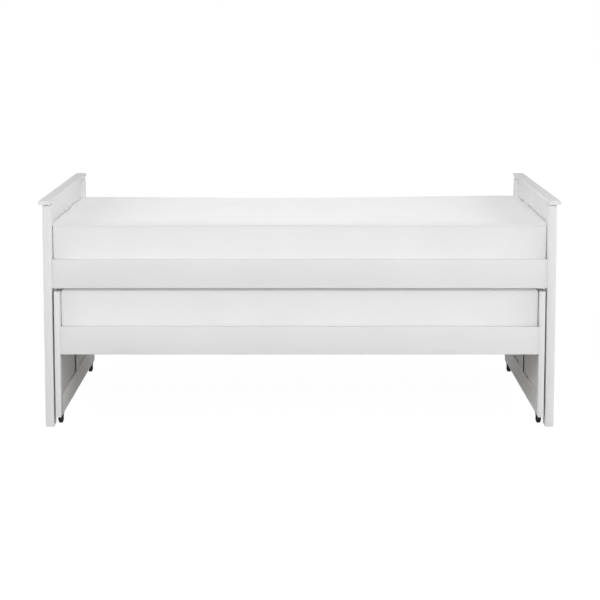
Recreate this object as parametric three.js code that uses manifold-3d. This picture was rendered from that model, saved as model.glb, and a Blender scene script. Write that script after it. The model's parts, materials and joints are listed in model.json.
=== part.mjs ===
// Trundle bed, in millimetres, +Z up, origin on the floor under the middle of the bed.
// X runs along the bed, and the open front, where the lower bed rolls out, faces -Y.
//
// The upper bed stands on the posts of two slatted end boards. Two side rails join the
// end boards and carry a slatted base and a mattress. The lower bed is a low bed of its
// own, with a framed board at each end, side rails, slatted base and mattress. It parks
// under the upper bed's rails, between its end boards, and rolls on four rigid casters.
import * as THREE from 'three';
import { mergeVertices } from 'three/addons/utils/BufferGeometryUtils.js';
import Module from 'manifold-3d';

const wasm = await Module();
wasm.setup();

// ---- driving dimensions -------------------------------------------------------------
const FIT_GAP = 0.3; // clearance wherever two pieces meet

// Both beds
const BED_DEPTH = 1065; // front face of the front posts to rear face of the rear posts
const POST_DEPTH = 65; // along Y
const CLEAT_SIZE = 25; // square battens that carry the bed slats

// Upper bed
const UPPER_LENGTH = 2008; // over the outer faces of the posts
const UPPER_POST_THICKNESS = 33; // along X
const POST_NECK_HEIGHT = 6; // the neck under the cap
const POST_NECK_INSET = 6;
const NECK_OVERLAP = 1; // how far the neck's solid sinks into the post's before they join
const CAP_TOP = 901;
const CAP_THICKNESS = 15.3;
const CAP_OUTER_OVERHANG = 14;
const CAP_END_OVERHANG = 15;
const CAP_OUTER_RADIUS = 5; // rounding of the upper edge on the outside
const CAP_INNER_RADIUS = 1.5; // and towards the bed
const CAP_UNDER_RADIUS = 1;
const END_RAIL_THICKNESS = 15;
const END_RAIL_RECESS = 15; // from the posts' inner faces
const END_TOP_RAIL_BOTTOM = 806;
const END_BOTTOM_RAIL = [80, 150];
const END_SLAT_COUNT = 7;
const END_SLAT_WIDTH = 65;
const END_SLAT_THICKNESS = 12;
const UPPER_SIDE_RAIL = [553.6, 667.4];
const UPPER_RAIL_THICKNESS = 22;
const UPPER_RAIL_SETBACK = 5; // behind the posts' front faces
const UPPER_MATTRESS = [600, 803];
const UPPER_MATTRESS_END_GAP = 1;

// Lower bed
const LOWER_LENGTH = 1927;
const LOWER_LEG_THICKNESS = 21;
const LOWER_LEGS = [38, 541];
const LOWER_TOP_RAIL_HEIGHT = 80;
const LOWER_BOTTOM_RAIL_TOP = 115;
const LOWER_PANEL_THICKNESS = 8;
const LOWER_PANEL_RECESS = 10; // from the end board's inner face
const CENTRE_STILE_WIDTH = 90;
const CENTRE_STILE_THICKNESS = 4.5; // it stands clear of the panel, with a slot behind it
const LOWER_SIDE_RAIL = [290, 400];
const LOWER_RAIL_THICKNESS = 20;
const LOWER_RAIL_SETBACK = 4;
const LOWER_MATTRESS = [340, 551];
const LOWER_MATTRESS_END_GAP = 1;

// Slatted bases and mattresses
const BASE_SLAT_COUNT = 13;
const BASE_SLAT_WIDTH = 70;
const BASE_SLAT_THICKNESS = 14;
const BASE_SLAT_END_GAP = 1; // slat end to side rail
const BASE_END_MARGIN = 30; // end board to the first slat
const WEBBING_WIDTH = 25;
const WEBBING_THICKNESS = 2;
const WEBBING_FROM_CENTRE = 455;
const MATTRESS_WIDTH = 1000;
const MATTRESS_CORNER_RADIUS = 18;
const MATTRESS_EDGE = 8;

// Casters
const WHEEL_RADIUS = 15;
const WHEEL_WIDTH = 16;
const WHEEL_SHOULDER = 5;
const SHOULDER_STEPS = 2;
const WHEEL_FACETS = 28;
const AXLE_RADIUS = 2.5;
const AXLE_FACETS = 16;
const CASTER_FROM_FACE = 69; // wheel centre to the lower bed's front or rear face
const FORK_PLATE = [21, 50, 2]; // X, Y, Z
const FORK_EAR_THICKNESS = 1.5;
const FORK_EAR_TOP_WIDTH = 26;
const FORK_EAR_RADIUS = 7; // round the axle
const FORK_SIDE_GAP = 0.6; // wheel to ear
const AXLE_HEAD_THICKNESS = 1;
const AXLE_HEAD_RADIUS = 4;

// ---- worked out from them -----------------------------------------------------------
const FRONT = -BED_DEPTH / 2;
const REAR = BED_DEPTH / 2;
const BETWEEN_POSTS = REAR - POST_DEPTH - FIT_GAP; // half of the space between two posts
const UPPER_POST_OUTER = UPPER_LENGTH / 2;
const UPPER_POST_INNER = UPPER_POST_OUTER - UPPER_POST_THICKNESS;
const CAP_BOTTOM = CAP_TOP - CAP_THICKNESS;
const LOWER_LEG_OUTER = LOWER_LENGTH / 2;
const LOWER_LEG_INNER = LOWER_LEG_OUTER - LOWER_LEG_THICKNESS;

const ENDS = [
  { name: 'left', side: -1 },
  { name: 'right', side: 1 },
];
const FACES = [
  { name: 'front', side: -1 },
  { name: 'rear', side: 1 },
];

// ---- materials ----------------------------------------------------------------------
const paintedWood = new THREE.MeshStandardMaterial({
  color: 0xe9e9e8,
  roughness: 0.5,
  metalness: 0,
});
const slatWood = new THREE.MeshStandardMaterial({
  color: 0xd9b98a,
  roughness: 0.75,
  metalness: 0,
});
const mattressFabric = new THREE.MeshStandardMaterial({
  color: 0xf0eeee,
  roughness: 0.95,
  metalness: 0,
});
const blackPlastic = new THREE.MeshStandardMaterial({
  color: 0x0c0c0d,
  roughness: 0.45,
  metalness: 0,
});
const blackSteel = new THREE.MeshStandardMaterial({
  color: 0x141415,
  roughness: 0.4,
  metalness: 0.6,
});
const axleSteel = new THREE.MeshStandardMaterial({
  color: 0x9a9c9f,
  roughness: 0.35,
  metalness: 1,
});

// ---- helpers ------------------------------------------------------------------------
const middle = ([low, high]) => (low + high) / 2;
const length = ([low, high]) => high - low;

// The span between two distances from the middle plane, on the side given by -1 or 1.
function onSide(side, inner, outer) {
  return side < 0 ? [-outer, -inner] : [inner, outer];
}

function named(name, geometry, material) {
  const mesh = new THREE.Mesh(geometry, material);
  mesh.name = name;
  return mesh;
}

// A painted board with square edges that fills the three spans.
function board(name, x, y, z) {
  const geometry = new THREE.BoxGeometry(length(x), length(y), length(z));
  const mesh = named(name, geometry, paintedWood);
  mesh.position.set(middle(x), middle(y), middle(z));
  return mesh;
}

function boxSolid(x, y, z) {
  const geometry = new THREE.BoxGeometry(length(x), length(y), length(z));
  geometry.translate(middle(x), middle(y), middle(z));
  return solid(geometry);
}

// A three.js geometry as a solid that can be joined and cut.
function solid(geometry) {
  const bare = geometry.clone();
  bare.deleteAttribute('normal');
  bare.deleteAttribute('uv');
  const merged = mergeVertices(bare);
  return new wasm.Manifold(
    new wasm.Mesh({
      numProp: 3,
      vertProperties: merged.attributes.position.array,
      triVerts: new Uint32Array(merged.index.array),
    }),
  );
}

// A solid back as a three.js geometry.
function geometryOf(joined) {
  const { vertProperties, triVerts } = joined.getMesh();
  const geometry = new THREE.BufferGeometry();
  geometry.setAttribute('position', new THREE.BufferAttribute(vertProperties, 3));
  geometry.setIndex(new THREE.BufferAttribute(triVerts, 1));
  const faceted = geometry.toNonIndexed();
  faceted.computeVertexNormals();
  return faceted;
}

// A rectangle centred on the origin, with its four corners rounded to the given radii,
// in the order lower right, upper right, upper left, lower left.
function roundedRectangle(width, height, radii) {
  const [lowerRight, upperRight, upperLeft, lowerLeft] = radii;
  const right = width / 2;
  const top = height / 2;
  const shape = new THREE.Shape();
  shape.moveTo(-right + lowerLeft, -top);
  shape.absarc(right - lowerRight, -top + lowerRight, lowerRight, -Math.PI / 2, 0);
  shape.absarc(right - upperRight, top - upperRight, upperRight, 0, Math.PI / 2);
  shape.absarc(-right + upperLeft, top - upperLeft, upperLeft, Math.PI / 2, Math.PI);
  shape.absarc(-right + lowerLeft, -top + lowerLeft, lowerLeft, Math.PI, 1.5 * Math.PI);
  return shape;
}

// ---- upper bed ----------------------------------------------------------------------
// The cap is a board laid along the top of an end board. Its outer upper edge is rounded,
// and its other edges are only eased.
function capRail(end) {
  const x = onSide(end.side, UPPER_POST_INNER, UPPER_POST_OUTER + CAP_OUTER_OVERHANG);
  const run = BED_DEPTH + 2 * CAP_END_OVERHANG;
  const [upperRight, upperLeft] =
    end.side > 0 ? [CAP_OUTER_RADIUS, CAP_INNER_RADIUS] : [CAP_INNER_RADIUS, CAP_OUTER_RADIUS];
  const radii = [CAP_UNDER_RADIUS, upperRight, upperLeft, CAP_UNDER_RADIUS];
  const profile = roundedRectangle(length(x), CAP_THICKNESS, radii);
  const geometry = new THREE.ExtrudeGeometry(profile, {
    depth: run,
    bevelEnabled: false,
    curveSegments: 5,
  });
  geometry.rotateX(Math.PI / 2);
  geometry.translate(0, run / 2, 0);
  const mesh = named(`${end.name}_cap_rail`, geometry, paintedWood);
  mesh.position.set(middle(x), 0, (CAP_BOTTOM + CAP_TOP) / 2);
  return mesh;
}

// Upright slats with equal gaps between them and the posts.
function endBoardSlats(end, z) {
  const railMiddle = UPPER_POST_INNER + END_RAIL_RECESS + END_RAIL_THICKNESS / 2;
  const half = END_SLAT_THICKNESS / 2;
  const x = onSide(end.side, railMiddle - half, railMiddle + half);
  const clear = BED_DEPTH - 2 * POST_DEPTH;
  const gap = (clear - END_SLAT_COUNT * END_SLAT_WIDTH) / (END_SLAT_COUNT + 1);
  const slats = [];
  for (let i = 0; i < END_SLAT_COUNT; i += 1) {
    const start = FRONT + POST_DEPTH + gap + i * (END_SLAT_WIDTH + gap);
    slats.push(board(`${end.name}_slat_${i + 1}`, x, [start, start + END_SLAT_WIDTH], z));
  }
  return slats;
}

// A post with a short neck at its top, which leaves a fine shadow line under the cap.
function upperPost(name, x, y) {
  const shoulder = CAP_BOTTOM - POST_NECK_HEIGHT;
  const inset = ([low, high]) => [low + POST_NECK_INSET, high - POST_NECK_INSET];
  const neckZ = [shoulder - NECK_OVERLAP, CAP_BOTTOM - FIT_GAP];
  const joined = boxSolid(x, y, [0, shoulder]).add(boxSolid(inset(x), inset(y), neckZ));
  return named(name, geometryOf(joined), paintedWood);
}

function upperEndBoard(end) {
  const group = new THREE.Group();
  const postX = onSide(end.side, UPPER_POST_INNER, UPPER_POST_OUTER);
  for (const face of FACES) {
    const y = onSide(face.side, REAR - POST_DEPTH, REAR);
    group.add(upperPost(`${end.name}_${face.name}_post`, postX, y));
  }
  const railInner = UPPER_POST_INNER + END_RAIL_RECESS;
  const railX = onSide(end.side, railInner, railInner + END_RAIL_THICKNESS);
  const railY = [-BETWEEN_POSTS, BETWEEN_POSTS];
  const topZ = [END_TOP_RAIL_BOTTOM, CAP_BOTTOM - FIT_GAP];
  const slatZ = [END_BOTTOM_RAIL[1] + FIT_GAP, END_TOP_RAIL_BOTTOM - FIT_GAP];
  group.add(board(`${end.name}_top_rail`, railX, railY, topZ));
  group.add(board(`${end.name}_bottom_rail`, railX, railY, END_BOTTOM_RAIL));
  group.add(capRail(end), ...endBoardSlats(end, slatZ));
  return group;
}

// ---- side rails, slatted bases and mattresses, alike on both beds -------------------
// A side rail with its cleat along the inner side.
function sideRail(bed, face) {
  const inner = REAR - bed.railSetback - bed.railThickness;
  const x = [-bed.inner + FIT_GAP, bed.inner - FIT_GAP];
  const railY = onSide(face.side, inner, inner + bed.railThickness);
  const cleatY = onSide(face.side, inner - FIT_GAP - CLEAT_SIZE, inner - FIT_GAP);
  const cleatTop = bed.mattress[0] - BASE_SLAT_THICKNESS - 2 * FIT_GAP;
  return [
    board(`${bed.name}_${face.name}_side_rail`, x, railY, bed.sideRail),
    board(`${bed.name}_${face.name}_cleat`, x, cleatY, [cleatTop - CLEAT_SIZE, cleatTop]),
  ];
}

// Slats across the bed, held at their spacing by two webbing straps under them.
function slatBase(bed) {
  const top = bed.mattress[0] - FIT_GAP;
  const bottom = top - BASE_SLAT_THICKNESS;
  const reach = REAR - bed.railSetback - bed.railThickness - BASE_SLAT_END_GAP;
  const run = 2 * (bed.inner - BASE_END_MARGIN) - BASE_SLAT_WIDTH;
  const pitch = run / (BASE_SLAT_COUNT - 1);
  const half = BASE_SLAT_WIDTH / 2;
  const strapZ = [bottom - WEBBING_THICKNESS / 2, bottom + WEBBING_THICKNESS / 2];
  let joined = null;
  for (let i = 0; i < BASE_SLAT_COUNT; i += 1) {
    const centre = -run / 2 + i * pitch;
    const slat = boxSolid([centre - half, centre + half], [-reach, reach], [bottom, top]);
    joined = joined ? joined.add(slat) : slat;
  }
  for (const { side } of FACES) {
    const from = WEBBING_FROM_CENTRE - WEBBING_WIDTH / 2;
    const strapY = onSide(side, from, from + WEBBING_WIDTH);
    joined = joined.add(boxSolid([-run / 2, run / 2], strapY, strapZ));
  }
  return named(`${bed.name}_slat_base`, geometryOf(joined), slatWood);
}

// A mattress block with rounded upright corners and softened top and bottom edges.
function mattress(bed) {
  const long = 2 * (bed.inner - bed.mattressGap);
  const [low, high] = bed.mattress;
  const corner = MATTRESS_CORNER_RADIUS - MATTRESS_EDGE;
  const outline = roundedRectangle(
    long - 2 * MATTRESS_EDGE,
    MATTRESS_WIDTH - 2 * MATTRESS_EDGE,
    [corner, corner, corner, corner],
  );
  const geometry = new THREE.ExtrudeGeometry(outline, {
    depth: high - low - 2 * MATTRESS_EDGE,
    bevelThickness: MATTRESS_EDGE,
    bevelSize: MATTRESS_EDGE,
    bevelSegments: 2,
    curveSegments: 4,
  });
  const mesh = named(`${bed.name}_mattress`, geometry, mattressFabric);
  mesh.position.set(0, 0, low + MATTRESS_EDGE);
  return mesh;
}

function bedMiddle(bed) {
  const group = new THREE.Group();
  for (const face of FACES) group.add(...sideRail(bed, face));
  group.add(slatBase(bed), mattress(bed));
  return group;
}

// ---- lower bed ----------------------------------------------------------------------
// A framed end board: two legs and two rails round a recessed panel, with a thin stile
// across the middle of the opening.
function lowerEndBoard(end) {
  const group = new THREE.Group();
  const name = (piece) => `lower_${end.name}_${piece}`;
  const frameX = onSide(end.side, LOWER_LEG_INNER, LOWER_LEG_OUTER);
  for (const face of FACES) {
    const y = onSide(face.side, REAR - POST_DEPTH, REAR);
    group.add(board(name(`${face.name}_leg`), frameX, y, LOWER_LEGS));
  }
  const between = [-BETWEEN_POSTS, BETWEEN_POSTS];
  const topRailBottom = LOWER_LEGS[1] - LOWER_TOP_RAIL_HEIGHT;
  const panelInner = LOWER_LEG_INNER + LOWER_PANEL_RECESS;
  const panelX = onSide(end.side, panelInner, panelInner + LOWER_PANEL_THICKNESS);
  const panelZ = [LOWER_BOTTOM_RAIL_TOP + FIT_GAP, topRailBottom - FIT_GAP];
  const stileX = onSide(end.side, LOWER_LEG_INNER, LOWER_LEG_INNER + CENTRE_STILE_THICKNESS);
  const stileY = [-CENTRE_STILE_WIDTH / 2, CENTRE_STILE_WIDTH / 2];
  group.add(board(name('top_rail'), frameX, between, [topRailBottom, LOWER_LEGS[1]]));
  group.add(
    board(name('bottom_rail'), frameX, between, [LOWER_LEGS[0], LOWER_BOTTOM_RAIL_TOP]),
  );
  group.add(board(name('panel'), panelX, between, panelZ));
  group.add(board(name('centre_stile'), stileX, stileY, panelZ));
  return group;
}

// One ear of a caster's fork, drawn in the YZ plane about the axle's centre.
function forkEar(plateBottom) {
  const top = plateBottom - WHEEL_RADIUS + FORK_PLATE[2] / 2;
  const ear = new THREE.Shape();
  ear.moveTo(-FORK_EAR_TOP_WIDTH / 2, top);
  ear.lineTo(-FORK_EAR_RADIUS, 0);
  ear.absarc(0, 0, FORK_EAR_RADIUS, Math.PI, 2 * Math.PI);
  ear.lineTo(FORK_EAR_TOP_WIDTH / 2, top);
  ear.closePath();
  const hole = new THREE.Path();
  hole.absarc(0, 0, AXLE_RADIUS + FIT_GAP, 0, 2 * Math.PI);
  ear.holes.push(hole);
  const geometry = new THREE.ExtrudeGeometry(ear, {
    depth: FORK_EAR_THICKNESS,
    bevelEnabled: false,
    curveSegments: 10,
  });
  geometry.rotateX(Math.PI / 2);
  geometry.rotateZ(Math.PI / 2);
  return geometry;
}

// A rigid fork: a top plate under the end board, with an ear on each side of the wheel.
function casterFork(name, plateTop) {
  const [plateX, plateY, plateZ] = FORK_PLATE;
  const plateBottom = plateTop - plateZ;
  const centreZ = WHEEL_RADIUS;
  let fork = boxSolid(
    [-plateX / 2, plateX / 2],
    [-plateY / 2, plateY / 2],
    [plateBottom - centreZ, plateTop - centreZ],
  );
  const earStart = WHEEL_WIDTH / 2 + FORK_SIDE_GAP;
  for (const from of [earStart, -earStart - FORK_EAR_THICKNESS]) {
    const ear = forkEar(plateBottom);
    ear.translate(from, 0, 0);
    fork = fork.add(solid(ear));
  }
  return named(name, geometryOf(fork), blackSteel);
}

// A wheel with rounded shoulders, turned about its axle along X.
function casterWheel(name) {
  const half = WHEEL_WIDTH / 2;
  const bore = AXLE_RADIUS + FIT_GAP;
  const profile = new THREE.Path();
  const shoulderRadius = WHEEL_RADIUS - WHEEL_SHOULDER;
  const shoulderAlong = half - WHEEL_SHOULDER;
  profile.moveTo(bore, -half);
  profile.lineTo(shoulderRadius, -half);
  profile.absarc(shoulderRadius, -shoulderAlong, WHEEL_SHOULDER, -Math.PI / 2, 0);
  profile.absarc(shoulderRadius, shoulderAlong, WHEEL_SHOULDER, 0, Math.PI / 2);
  profile.lineTo(bore, half);
  profile.lineTo(bore, -half);
  const geometry = new THREE.LatheGeometry(profile.getPoints(SHOULDER_STEPS), WHEEL_FACETS);
  geometry.rotateZ(Math.PI / 2);
  return named(name, geometry, blackPlastic);
}

// An axle pin with a flat head at each end, outside the fork's ears.
function casterAxle(name) {
  const earOuter = WHEEL_WIDTH / 2 + FORK_SIDE_GAP + FORK_EAR_THICKNESS;
  const headInner = earOuter + FIT_GAP;
  const headOuter = headInner + AXLE_HEAD_THICKNESS;
  const profile = [
    [0, -headOuter],
    [AXLE_HEAD_RADIUS, -headOuter],
    [AXLE_HEAD_RADIUS, -headInner],
    [AXLE_RADIUS, -headInner],
    [AXLE_RADIUS, headInner],
    [AXLE_HEAD_RADIUS, headInner],
    [AXLE_HEAD_RADIUS, headOuter],
    [0, headOuter],
  ].map(([radius, along]) => new THREE.Vector2(radius, along));
  const geometry = new THREE.LatheGeometry(profile, AXLE_FACETS);
  geometry.rotateZ(Math.PI / 2);
  return named(name, geometry, axleSteel);
}

function caster(end, face) {
  const name = (piece) => `caster_${end.name}_${face.name}_${piece}`;
  const group = new THREE.Group();
  group.add(casterFork(name('fork'), LOWER_LEGS[0] - FIT_GAP));
  group.add(casterAxle(name('axle')));
  group.add(casterWheel(name('wheel')));
  group.position.set(
    end.side * (LOWER_LEG_INNER + LOWER_LEG_OUTER) / 2,
    face.side * (REAR - CASTER_FROM_FACE),
    WHEEL_RADIUS,
  );
  return group;
}

// ---- assembly -----------------------------------------------------------------------
const upperBed = {
  name: 'upper',
  inner: UPPER_POST_INNER,
  railSetback: UPPER_RAIL_SETBACK,
  railThickness: UPPER_RAIL_THICKNESS,
  sideRail: UPPER_SIDE_RAIL,
  mattress: UPPER_MATTRESS,
  mattressGap: UPPER_MATTRESS_END_GAP,
};
const lowerBed = {
  name: 'lower',
  inner: LOWER_LEG_INNER,
  railSetback: LOWER_RAIL_SETBACK,
  railThickness: LOWER_RAIL_THICKNESS,
  sideRail: LOWER_SIDE_RAIL,
  mattress: LOWER_MATTRESS,
  mattressGap: LOWER_MATTRESS_END_GAP,
};

const trundleBed = new THREE.Group();
trundleBed.add(bedMiddle(upperBed), bedMiddle(lowerBed));
for (const end of ENDS) {
  trundleBed.add(upperEndBoard(end), lowerEndBoard(end));
  for (const face of FACES) trundleBed.add(caster(end, face));
}

export default trundleBed;
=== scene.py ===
"""The looks of a trundle bed: paint, mattresses, slatted bases, casters, light and camera.

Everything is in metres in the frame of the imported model. X runs along the bed, the open
front faces -Y, and the floor is at z = 0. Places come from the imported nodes' boxes.
"""
import json
import math

import bmesh
import bpy
import numpy as np
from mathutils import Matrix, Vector, noise
from mathutils.kdtree import KDTree

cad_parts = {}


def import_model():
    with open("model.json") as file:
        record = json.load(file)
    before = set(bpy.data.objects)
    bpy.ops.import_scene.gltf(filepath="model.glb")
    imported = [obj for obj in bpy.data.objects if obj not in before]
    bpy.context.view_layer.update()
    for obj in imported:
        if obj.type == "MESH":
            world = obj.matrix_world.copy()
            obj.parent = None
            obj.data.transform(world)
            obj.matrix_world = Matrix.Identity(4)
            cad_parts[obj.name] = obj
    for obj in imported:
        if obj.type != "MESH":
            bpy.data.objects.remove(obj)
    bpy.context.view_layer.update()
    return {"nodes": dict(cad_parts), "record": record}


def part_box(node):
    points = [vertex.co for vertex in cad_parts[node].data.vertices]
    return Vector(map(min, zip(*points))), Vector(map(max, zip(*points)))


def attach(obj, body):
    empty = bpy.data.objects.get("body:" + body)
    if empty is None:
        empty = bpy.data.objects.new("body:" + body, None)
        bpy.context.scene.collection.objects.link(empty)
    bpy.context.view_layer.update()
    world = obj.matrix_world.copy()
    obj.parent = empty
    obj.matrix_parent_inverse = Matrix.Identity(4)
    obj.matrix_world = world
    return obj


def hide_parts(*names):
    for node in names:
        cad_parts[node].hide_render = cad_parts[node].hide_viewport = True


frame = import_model()

MM = 0.001
ENDS = {"left": -1, "right": 1}
FACES = {"front": -1, "rear": 1}

# ---- camera and light ----------------------------------------------------------------
CAMERA_PLACE = (0.0014, -6.8786, 1.6431)
CAMERA_TILT = 0.1112  # radians below the horizon
CAMERA_LENS = 98.468  # mm, on a 36 mm sensor
CAMERA_SHIFT = -0.18

HORIZON_LIGHT = 1.33
ZENITH_LIGHT = 0.0
SOFT_LIGHTS = {  # place, target, size in metres, and watts
    "front": ((0.0, -5.2, 2.9), (0.0, 0.0, 0.5), (3.0, 1.0), 78.0),
    "top": ((0.0, 0.3, 3.6), (0.0, 0.0, 0.5), (3.2, 2.0), 14.0),
    "right": ((4.6, -1.5, 2.2), (0.0, 0.0, 0.5), (2.4, 2.4), 55.0),
    "left": ((-4.6, -1.5, 2.2), (0.0, 0.0, 0.5), (2.4, 2.4), 45.0),
}

# ---- mattresses ----------------------------------------------------------------------
DOUBLED = 0.002 * MM  # points closer than this are one point
MATTRESS_CORNER = 6 * MM  # radius in plan
MATTRESS_EDGE = 5 * MM  # radius of the long edges
EDGE_ROWS = [0.0, 2.5 * MM, 5 * MM, 8.5 * MM, 13 * MM, 20 * MM]  # grid lines beside each edge
GRID_STEP = 15 * MM
OUTLINE_STEP = 9 * MM
CORNER_STEPS = 6
CLOTH_PRESSURE = 4.0
CLOTH_STIFFNESS = 2.0
CLOTH_FRAMES = 20
SEAM_HOLD = (12 * MM, 34 * MM)  # the seam holds the cloth fully, and no more, this far off
SEAM_VALLEY_DEPTH = 0.5 * MM
SEAM_VALLEY_REACH = 8 * MM
PUCKER_DEPTH = 0.5 * MM
PUCKER_LENGTH = 34 * MM
PUCKER_REACH = 26 * MM
PUCKER_LIMIT = 4 * PUCKER_REACH  # no pucker shows further off than this
WANDER_WAVES = (4.0, 9.0)  # per metre, along the seam and upwards
WANDER_TURN = 7.0  # radians by which the puckers stray from an even row
UNEVEN_WAVES = 9.0
UNEVEN_ROW = 3.7  # a part of the noise away from the wander's
DRAPE_LAYERS = ((7.0, 1.0), (19.0, 0.5))  # waves per metre, and strength
LOOSE_FROM_SEAM = 60 * MM  # the cover hangs freely this far from a seam
TAPE_FROM_EDGE = 4 * MM  # middle of the binding tape to the mattress's top or bottom
TAPE_PROUD = 0.8 * MM
TAPE_HALF_HEIGHT = 4 * MM
TAPE_SIDES = 10
WAIST_DEPTH = 2.0 * MM  # the sides draw in above the rail
WAIST_ABOVE_RAIL = 75 * MM
WAIST_REACH = 32 * MM
RAIL_BULGE = 3.5 * MM  # and press out against it
RAIL_BULGE_ABOVE = -6 * MM
RAIL_BULGE_REACH = 28 * MM
POST_REACH = 32 * MM  # the mattress's side to the posts' inner sides
BETWEEN_POSTS = (8 * MM, 40 * MM)  # the ends press out between the posts, this far in
END_BULGE_REACH = 70 * MM
END_SQUEEZE = 0.4 * MM  # how far an end swells before the posts or legs press it flat
RAIL_CLEARANCE = 0.3 * MM  # the side rails press the sides flat, up to their eased edges
REAR_SINK = 4.0 * MM  # a used mattress lies lower at the rear,
RIGHT_LIFT = 6.0 * MM  # fuller to the right,
MIDDLE_SINK = 4.0 * MM  # and lower again where it was slept on
LIFT_FROM = 0.25  # places along the bed, as shares of half its length
SINK_CENTRE = -0.15
SINK_REACH = 0.42
MATTRESS_FEEL = {
    "upper": {
        "top_swell": 6 * MM,
        "side_swell": 5 * MM,
        "lift": -1 * MM,  # the cover's edge above the plain mattress's top
        "liveliness": 1.0 * MM,
        "sinking": 1.0,
        "end_bulge": 16 * MM,
        "end_drop": 5 * MM,  # the top rounds down to its ends,
        "end_reach": 25 * MM,  # from this far in
        "between_posts": True,
    },
    "lower": {
        "top_swell": 4 * MM,
        "side_swell": 4 * MM,
        "lift": -3 * MM,
        "liveliness": 0.5 * MM,
        "sinking": 0.0,
        "end_bulge": 0.0,
        "end_drop": 18 * MM,
        "end_reach": 14 * MM,
        "between_posts": False,
    },
}

# ---- painted boards ------------------------------------------------------------------
BOARD_EDGE = 1.5 * MM  # radius of the eased edges
BOARD_EDGE_STEPS = 3
SHARP_FROM = math.radians(40)  # edges that turn by more than this are eased
PAINT = (0.800, 0.800, 0.797)
PAINT_SHADE = (0.775, 0.775, 0.773)


# ---- shader helper -------------------------------------------------------------------
class Shader:
    """A node material with one Principled shader, and short calls that add nodes to it."""

    def __init__(self, name, **plain_values):
        self.material = bpy.data.materials.new(name)
        self.material.use_nodes = True
        self.tree = self.material.node_tree
        self.surface = self.tree.nodes["Principled BSDF"]
        self.place = self.add("ShaderNodeTexCoord").outputs["Object"]
        for socket, value in plain_values.items():
            self.surface.inputs[socket.replace("_", " ")].default_value = value

    def add(self, kind, **settings):
        node = self.tree.nodes.new(kind)
        for name, value in settings.items():
            setattr(node, name, value)
        return node

    def feed(self, node, socket, value):
        """Sets a socket to a plain value, or joins it to another node's output."""
        if isinstance(value, bpy.types.NodeSocket):
            self.tree.links.new(value, node.inputs[socket])
        else:
            node.inputs[socket].default_value = value

    def math(self, operation, first, second=0.0):
        node = self.add("ShaderNodeMath", operation=operation)
        self.feed(node, 0, first)
        self.feed(node, 1, second)
        return node.outputs[0]

    def total(self, *values):
        result = values[0]
        for value in values[1:]:
            result = self.math("ADD", result, value)
        return result

    def scaled(self, scale):
        """The place on the piece, multiplied along each axis."""
        node = self.add("ShaderNodeMapping", vector_type="POINT")
        self.feed(node, "Vector", self.place)
        self.feed(node, "Scale", scale)
        return node.outputs["Vector"]

    def noise(self, place, scale=1.0, detail=2.0):
        node = self.add("ShaderNodeTexNoise")
        self.feed(node, "Vector", place)
        self.feed(node, "Scale", scale)
        self.feed(node, "Detail", detail)
        return node.outputs[0]

    def between(self, amount, low, high):
        """A number that goes from low to high as amount goes from 0 to 1."""
        node = self.add("ShaderNodeMapRange")
        self.feed(node, "Value", amount)
        self.feed(node, "To Min", low)
        self.feed(node, "To Max", high)
        return node.outputs[0]

    def tones(self, amount, *stops):
        """A colour that follows (position, colour) stops."""
        node = self.add("ShaderNodeValToRGB")
        self.feed(node, 0, amount)
        elements = node.color_ramp.elements
        while len(elements) < len(stops):
            elements.new(1.0)
        for element, (position, colour) in zip(elements, stops):
            element.position = position
            element.color = (*colour, 1.0)
        return node.outputs[0]

    def bump(self, height, distance, under=None):
        node = self.add("ShaderNodeBump")
        self.feed(node, "Height", height)
        self.feed(node, "Distance", distance)
        if under is not None:
            self.feed(node, "Normal", under)
        return node.outputs[0]

    def finish(self, colour=None, roughness=None, normal=None):
        for socket, value in (
            ("Base Color", colour),
            ("Roughness", roughness),
            ("Normal", normal),
        ):
            if value is not None:
                self.feed(self.surface, socket, value)
        return self.material


# ---- materials -----------------------------------------------------------------------
def along(axis, length_scale, cross_scale):
    """Scales that draw a texture out along one axis."""
    return tuple(length_scale if name == axis else cross_scale for name in "xyz")


def painted_wood(axis):
    """Satin white paint with faint brush lines along the board and slow tone changes."""
    shader = Shader(f"painted_wood_{axis}", Specular_IOR_Level=0.25)
    clouds = shader.noise(shader.place, scale=3.5, detail=4.0)
    brush = shader.noise(shader.scaled(along(axis, 5.0, 420.0)), detail=3.0)
    peel = shader.noise(shader.place, scale=260.0)
    colour = shader.tones(clouds, (0.30, PAINT_SHADE), (0.70, PAINT))
    roughness = shader.between(brush, 0.48, 0.62)
    lines = shader.bump(brush, 0.07 * MM)
    normal = shader.bump(peel, 0.05 * MM, under=lines)
    return shader.finish(colour, roughness, normal)


def edge_highlight_and_wear():
    """The same paint over an eased edge: glossier, warmer where it thins, and a little lighter as a
    painted highlight along the edge.
    """
    shader = Shader("edge_highlight_and_wear", Specular_IOR_Level=0.5)
    wear_and_highlight = shader.noise(shader.place, scale=24.0, detail=5.0)
    # the lighter stop is a painted highlight on the eased edge; the darker, warmer stop is thin
    # paint
    colour = shader.tones(wear_and_highlight, (0.40, (0.83, 0.83, 0.825)), (0.80, (0.76, 0.75, 0.73)))
    roughness = shader.between(wear_and_highlight, 0.28, 0.42)
    normal = shader.bump(wear_and_highlight, 0.2 * MM)
    return shader.finish(colour, roughness, normal)


def weave(shader, pitch):
    """Height of a plain weave on faces of any direction, with threads this far apart."""
    turns = 2.0 * math.pi / pitch
    split = shader.add("ShaderNodeSeparateXYZ")
    shader.feed(split, 0, shader.place)
    waves = []
    for axis in range(3):
        angle = shader.math("MULTIPLY", split.outputs[axis], turns)
        waves.append(shader.math("SINE", angle))
    facing = shader.add("ShaderNodeSeparateXYZ")
    shader.feed(facing, 0, shader.add("ShaderNodeTexCoord").outputs["Normal"])
    parts = []
    for axis in range(3):
        first, second = (waves[other] for other in range(3) if other != axis)
        over = shader.math("MULTIPLY", first, second)
        share = shader.math("ABSOLUTE", facing.outputs[axis])
        parts.append(shader.math("MULTIPLY", over, share))
    return shader.total(*parts)


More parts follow.
